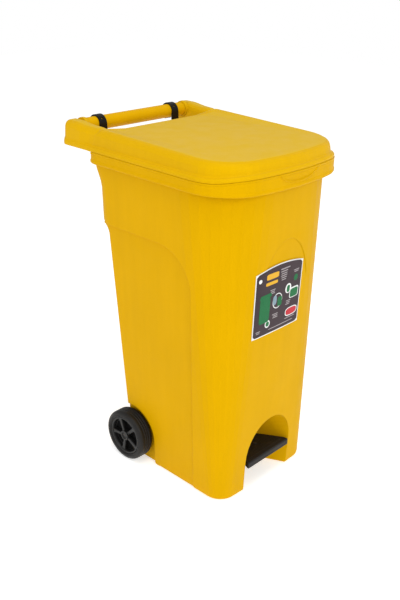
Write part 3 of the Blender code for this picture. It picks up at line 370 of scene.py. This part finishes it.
def refined(node_name, material, body, slot_name, width):
    """A copy of a CAD node with its facets merged and its edges rounded."""
    bm = bmesh.new()
    bm.from_mesh(nodes[node_name].data)
    bmesh.ops.remove_doubles(bm, verts=bm.verts, dist=1e-6)
    bmesh.ops.dissolve_limit(bm, angle_limit=math.radians(0.5), verts=bm.verts, edges=bm.edges)
    obj = make_piece(f"{node_name}_soft", bm, material, body, slot_name, node_name)
    soften(obj, width)
    return obj


def skin(bm, rings, closed_path=False):
    loops = [[bm.verts.new(point) for point in ring] for ring in rings]
    pairs = list(zip(loops, loops[1:]))
    if closed_path:
        pairs.append((loops[-1], loops[0]))
    for low, high in pairs:
        for i in range(len(low)):
            j = (i + 1) % len(low)
            bm.faces.new((low[i], low[j], high[j], high[i]))
    if not closed_path:
        bm.faces.new(loops[0][::-1])
        bm.faces.new(loops[-1])


def round_profile(points, radius, steps=4):
    """A closed profile with its corners rounded; a radius may be given per corner."""
    made = []
    count = len(points)
    for i, point in enumerate(points):
        here = Vector(point[:2])
        before, after = Vector(points[i - 1][:2]), Vector(points[(i + 1) % count][:2])
        reach = point[2] if len(point) > 2 else radius
        reach = min(reach, (before - here).length * 0.45, (after - here).length * 0.45)
        start = here + (before - here).normalized() * reach
        end = here + (after - here).normalized() * reach
        for k in range(steps + 1):
            t = k / steps
            made.append(start * (1 - t) ** 2 + here * 2 * t * (1 - t) + end * t ** 2)
    return made


def turn(bm, profile, centre, segments):
    """Turns a closed profile of (x, radius) points about an axis along X."""
    y, z = centre
    angles = [2 * math.pi * i / segments for i in range(segments)]
    skin(bm, [[(x, y + r * math.cos(a), z + r * math.sin(a)) for a in angles] for x, r in profile], True)


# ---------------------------------------------------------------- wheels
def make_wheels(finishes):
    for side, tag in SIDES:
        low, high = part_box(f"tyre_{tag}")
        centre = ((low[1] + high[1]) / 2, (low[2] + high[2]) / 2)
        radius = (high[2] - low[2]) / 2 - 0.0001
        inner, outer = (low[0], high[0]) if side > 0 else (high[0], low[0])
        width = abs(outer - inner)

        def at(depth):
            """The x that lies this far inside the wheel's outer face."""
            return outer - side * depth

        rim = radius * RIM_SHARE
        tread = [(at(0.0), rim + 0.003, 0.0012), (at(0.0), radius - 0.0075, 0.003),
                 (at(0.0024), radius - 0.0020, 0.0035), (at(0.0075), radius, 0.0025)]
        for share in (0.36, 0.52, 0.68):
            x = width * share
            tread += [(at(x - 0.0016), radius, 0.0005), (at(x - 0.0008), radius - 0.0011, 0.0005),
                      (at(x + 0.0008), radius - 0.0011, 0.0005), (at(x + 0.0016), radius, 0.0005)]
        tread += [(at(width - 0.0075), radius, 0.0025), (at(width - 0.0024), radius - 0.0020, 0.0035),
                  (at(width), radius - 0.0075, 0.003), (at(width), rim + 0.003, 0.0012),
                  (at(width - 0.003), rim - 0.0004, 0.001), (at(0.003), rim - 0.0004, 0.001)]
        bm = bmesh.new()
        turn(bm, round_profile(tread, 0.001), centre, 96)
        ridge = [(at(0.0), radius - 0.0093), (at(0.0), radius - 0.0112), (at(0.0014), radius - 0.0112),
                 (at(0.0014), radius - 0.0093)]
        turn(bm, round_profile(ridge, 0.0003, 2), centre, 96)
        make_piece(f"tyre_soft_{tag}", bm, finishes["tyre"], f"wheel_unit_{tag}", "tyre", f"tyre_{tag}")

        hub, bore = 0.0118, 0.0056
        bm = bmesh.new()
        ring = [(at(0.0026), rim - 0.0006), (at(0.0026), rim - 0.0042), (at(0.0060), rim - 0.0056),
                (at(0.0140), rim - 0.0060), (at(0.0140), rim - 0.0080), (at(width - 0.004), rim - 0.0080),
                (at(width - 0.004), rim - 0.0006)]
        turn(bm, round_profile(ring, 0.0011), centre, 96)
        boss = [(at(0.0014), hub), (at(0.0014), hub - 0.0035), (at(0.0120), hub - 0.0045),
                (at(0.0120), bore), (at(width - 0.0005), bore), (at(width - 0.0005), hub), (at(0.0060), hub)]
        turn(bm, round_profile(boss, 0.0008), centre, 64)
        make_piece(f"wheel_disc_soft_{tag}", bm, finishes["black_wheel"], f"wheel_unit_{tag}", "black_wheel",
                   f"wheel_disc_{tag}")

        # the web between the spokes gets the darker black: painted shade in the recess behind the spokes
        bm = bmesh.new()
        web = [(at(0.0140), rim - 0.0010), (at(0.0140), hub - 0.0020), (at(0.0175), hub - 0.0020),
               (at(0.0175), rim - 0.0010)]
        turn(bm, web, centre, 64)
        make_piece(f"wheel_web_{tag}", bm, finishes["painted_shade_black"], f"wheel_unit_{tag}", "black_wheel")

        bm = bmesh.new()
        for index in range(SPOKES):
            angle = 2 * math.pi * index / SPOKES + FIRST_SPOKE
            along = Vector((0, math.cos(angle), math.sin(angle)))
            across = Vector((0, -math.sin(angle), math.cos(angle)))
            middle = Vector((0, *centre))
            rings = []
            for reach, half, face in ((hub - 0.002, 0.0036, 0.0036), (hub + 0.006, 0.0034, 0.0044),
                                      (rim - 0.012, 0.0042, 0.0048), (rim - 0.0040, 0.0062, 0.0044)):
                section = ((-half, 0.0150), (-half, face + 0.0012), (-half + 0.0012, face),
                           (half - 0.0012, face), (half, face + 0.0012), (half, 0.0150))
                here = middle + along * reach
                rings.append([here + across * w + Vector((at(d), 0, 0)) for w, d in section])
            skin(bm, rings)
        make_piece(f"wheel_spokes_{tag}", bm, finishes["black_wheel"], f"wheel_unit_{tag}", "black_wheel")


# ---------------------------------------------------------------- label
FIELD_LIFT, FILM = 0.00015, 0.00012


def make_label(finishes):
    node = nodes["label"]
    surface = BVHTree.FromObject(node, bpy.context.evaluated_depsgraph_get())
    low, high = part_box("label")
    width, height = high[0] - low[0], high[2] - low[2]
    crown = 0.010

    def face_y(x, z):
        hit = surface.ray_cast(Vector((x, low[1] - 0.05, z)), Vector((0, 1, 0)))[0]
        return hit.y if hit else low[1] + 0.0012

    def place(across, up):
        """A point on the label: shares across and up give x and z."""
        top = height - crown + crown * (1 - (2 * across - 1) ** 2)
        return low[0] + width * across, low[2] + top * up

    def sheet(bm, outline, lift):
        """A thin sheet on the label's face with this outline of (x, z) points."""
        count = len(outline)
        middle = Vector((sum(p[0] for p in outline) / count, sum(p[1] for p in outline) / count))
        top, base = [], []
        for x, z in outline:
            y = face_y(x, z)
            top.append(bm.verts.new((x, y - lift, z)))
            base.append(bm.verts.new((x, y - lift + FILM, z)))
        centre = bm.verts.new((middle.x, face_y(*middle) - lift, middle.y))
        for i in range(count):
            j = (i + 1) % count
            bm.faces.new((top[i], top[j], centre))
            bm.faces.new((top[i], base[i], base[j], top[j]))

    def oval(across, up, half_x, half_z, power=2.0, steps=32):
        """An oval; a larger power squares its corners."""
        x0, z0 = place(across, up)
        points = []
        for i in range(steps):
            a = 2 * math.pi * i / steps
            c, s = math.cos(a), math.sin(a)
            x = half_x * math.copysign(abs(c) ** (2 / power), c)
            z = half_z * math.copysign(abs(s) ** (2 / power), s)
            points.append((x0 + x, z0 + z))
        return points

    field = bmesh.new()
    columns, rows = 24, 24
    margin, corner_drop, corner_share = 0.0022, 0.004, 0.03
    grid = []
    for row in range(rows + 1):
        line = []
        for column in range(columns + 1):
            across, up = column / columns, row / rows
            near_side = max(0.0, 1 - min(across, 1 - across) / corner_share)
            near_end = max(0.0, 1 - min(up, 1 - up) / corner_share)
            x, z = place(margin / width + (1 - 2 * margin / width) * across,
                         margin / height + (1 - 2 * margin / height) * up)
            z -= corner_drop * near_side * near_end * (1 if up > 0.5 else -1)
            line.append(field.verts.new((x, face_y(x, z) - FIELD_LIFT, z)))
        grid.append(line)
    for row in range(rows):
        for column in range(columns):
            field.faces.new((grid[row][column], grid[row][column + 1], grid[row + 1][column + 1],
                             grid[row + 1][column]))
    make_piece("label_field", field, finishes["label_dark"], "bin", "label")

    # each mark: shares across and up, half width, half height, power of the oval
    marks = {
        "label_white": [(0.085, 0.875, 0.0045, 0.0045, 2), (0.48, 0.46, 0.0150, 0.0170, 2),
                        (0.30, 0.165, 0.0078, 0.0085, 2), (0.705, 0.585, 0.0098, 0.0110, 2),
                        (0.845, 0.505, 0.0150, 0.0120, 5), (0.82, 0.215, 0.0200, 0.0098, 3)],
        "label_green": [(0.215, 0.395, 0.0155, 0.0285, 8), (0.30, 0.165, 0.0052, 0.0056, 2),
                        (0.53, 0.44, 0.0070, 0.0105, 4), (0.845, 0.500, 0.0130, 0.0098, 5),
                        (0.705, 0.580, 0.0050, 0.0080, 3), (0.86, 0.725, 0.0062, 0.0070, 2.4)],
        "label_blue": [(0.42, 0.48, 0.0058, 0.0110, 2.4)],
        "label_yellow": [(0.335, 0.865, 0.0185, 0.0062, 6), (0.325, 0.765, 0.0180, 0.0036, 6)],
        "label_red": [(0.82, 0.215, 0.0178, 0.0078, 3)],
        "label_grey": [(0.60, 0.905, 0.0150, 0.0013, 6), (0.58, 0.868, 0.0110, 0.0012, 6),
                       (0.58, 0.835, 0.0095, 0.0010, 6), (0.58, 0.805, 0.0100, 0.0010, 6),
                       (0.58, 0.775, 0.0085, 0.0010, 6), (0.58, 0.745, 0.0070, 0.0010, 6),
                       (0.86, 0.845, 0.0090, 0.0010, 6), (0.86, 0.820, 0.0070, 0.0010, 6),
                       (0.36, 0.655, 0.0080, 0.0010, 6), (0.36, 0.630, 0.0060, 0.0010, 6),
                       (0.45, 0.270, 0.0090, 0.0010, 6), (0.46, 0.245, 0.0070, 0.0010, 6),
                       (0.73, 0.395, 0.0075, 0.0010, 6), (0.73, 0.370, 0.0060, 0.0010, 6),
                       (0.11, 0.100, 0.0065, 0.0010, 6), (0.60, 0.070, 0.0400, 0.0009, 6),
                       (0.11, 0.075, 0.0050, 0.0009, 6), (0.46, 0.220, 0.0080, 0.0010, 6),
                       (0.72, 0.345, 0.0070, 0.0010, 6), (0.36, 0.605, 0.0070, 0.0010, 6),
                       (0.80, 0.125, 0.0170, 0.0009, 6)],
    }
    lifts = {"label_white": 0.00028, "label_grey": 0.00028, "label_yellow": 0.00028, "label_green": 0.00042,
             "label_blue": 0.00036, "label_red": 0.00042}
    for colour, rows_of in marks.items():
        bm = bmesh.new()
        for across, up, half_x, half_z, power in rows_of:
            sheet(bm, oval(across, up, half_x, half_z, power), lifts[colour])
        if colour == "label_green":
            x0, z0 = place(0.215, 0.60)
            lid = [(x0 - 0.018, z0 - 0.004), (x0 + 0.019, z0 - 0.003), (x0 + 0.017, z0 + 0.005),
                   (x0 - 0.014, z0 + 0.004)]
            sheet(bm, lid, lifts[colour] + 0.00004)
        make_piece(f"{colour}_marks", bm, finishes[colour], "bin", "label")
    ring = bmesh.new()
    for across, up, half_x, half_z in ((0.48, 0.46, 0.0132, 0.0152), (0.30, 0.165, 0.0034, 0.0036)):
        sheet(ring, oval(across, up, half_x, half_z), 0.00032)
    make_piece("label_insets", ring, finishes["label_dark"], "bin", "label")


# ---------------------------------------------------------------- rim details
def rim_outline(inset):
    """Half of the rim's plan in (x, y), drawn in by an inset: from the middle of the front to the rear."""
    half, front = RIM_HALF - inset, RIM_FRONT + inset
    corner = RIM_CORNER - inset
    bow = corner + (half - corner) / math.sin(RIM_BOW)
    corner_y = front + bow - (bow - corner) * math.cos(RIM_BOW)
    points = []
    for step in range(8):
        angle = RIM_BOW * step / 8
        points.append((bow * math.sin(angle), front + bow - bow * math.cos(angle)))
    for step in range(25):
        angle = RIM_BOW + (math.pi / 2 - RIM_BOW) * step / 24
        points.append((half - corner + corner * math.sin(angle), corner_y - corner * math.cos(angle)))
    points += [(half, corner_y + (UPSTAND_REAR - corner_y) * step / 10) for step in range(1, 11)]
    return points


def seam_height(y):
    """The seam's height: level, and rising over the front."""
    share = min(max((SEAM_RISE_START - y) / SEAM_RISE_LENGTH, 0.0), 1.0)
    return SEAM + SEAM_RISE * share * share * (3 - 2 * share)


def make_rim(finishes):
    """The body's upstand inside the seam, and the bead round the thumb recess."""
    bm = bmesh.new()
    sections = []
    for inset, rise in UPSTAND:
        half = rim_outline(inset)
        line = [(-x, y) for x, y in half[:0:-1]] + half
        sections.append([(x, y, seam_height(y) + rise) for x, y in line])
    skin(bm, list(zip(*sections)))
    make_piece("seam_upstand", bm, finishes["yellow_body"], "bin", "yellow_body")

    surface = BVHTree.FromObject(nodes["body"], bpy.context.evaluated_depsgraph_get())
    bm = bmesh.new()
    rings = []
    steps = 40
    for step in range(steps + 1):
        angle = math.pi * (1 + step / steps)
        out = Vector((math.cos(angle) / THUMB_HALF, 0, math.sin(angle) / THUMB_DROP)).normalized()
        x = (THUMB_HALF + BEAD_GAP) * math.cos(angle)
        z = THUMB_Z + (THUMB_DROP + BEAD_GAP) * math.sin(angle)
        if z > seam_height(RIM_FRONT) - BEAD_BELOW_SEAM:
            continue
        hit = surface.ray_cast(Vector((x, RIM_FRONT - 0.05, z)), Vector((0, 1, 0)))[0]
        here = Vector((x, max(hit.y, RIM_FRONT + BEAD_SUNK), z))
        rings.append([here + out * u + Vector((0, -w, 0)) for u, w in BEAD])
    skin(bm, rings)
    make_piece("thumb_bead", bm, finishes["yellow_body"], "bin", "yellow_body")


# ---------------------------------------------------------------- pedal tread
def make_tread(finishes):
    """Fine ribs across the tread, lying on its top."""
    node = nodes["pedal"]
    surface = BVHTree.FromObject(node, bpy.context.evaluated_depsgraph_get())
    low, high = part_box("pedal")
    bm = bmesh.new()
    count, steps = 9, 16
    lowest = high[2] - 0.009
    for index in range(count):
        y = low[1] + 0.010 + (high[1] - low[1] - 0.016) * index / (count - 1)
        rings = []
        edge = high[0]
        while edge > 0.01:
            hit = surface.ray_cast(Vector((edge, y, high[2] + 0.05)), Vector((0, 0, -1)))[0]
            if hit and hit.z > lowest:
                break
            edge -= 0.001
        half = edge - 0.006
        for step in range(steps + 1):
            x = -half + 2 * half * step / steps
            hit = surface.ray_cast(Vector((x, y, high[2] + 0.05)), Vector((0, 0, -1)))[0]
            if hit and hit.z > lowest:
                z = hit.z
            end = 0.35 if step in (0, steps) else 1.0
            rings.append([(x, y - 0.0015, z - 0.0004), (x, y - 0.0007, z + 0.0006 * end),
                          (x, y + 0.0007, z + 0.0006 * end), (x, y + 0.0015, z - 0.0004)])
        skin(bm, rings)
    make_piece("pedal_ribs", bm, finishes["black_tread"], "pedal_unit", "black_plastic")


make_camera()
make_stage()
bpy.context.scene.view_settings.view_transform = "Standard"
area_light("key", (-0.4, -2.6, 1.9), (0, 0, 0.4), (1.3, 1.3), 27, (0.93, 1.0, 0.95))
area_light("top", (-0.5, -0.6, 2.7), (0, 0, 0.6), (1.2, 1.2), 16)
area_light("side", (-2.6, 0.1, 1.5), (0, 0, 0.4), (1.3, 1.3), 13)
finishes = make_finishes()
paint_nodes(finishes)
make_wheels(finishes)
make_label(finishes)
make_tread(finishes)
make_rim(finishes)
for _, strap_tag in SIDES:
    refined(f"hinge_strap_{strap_tag}", finishes["black_plastic"], "bin", "black_plastic", 0.0007)
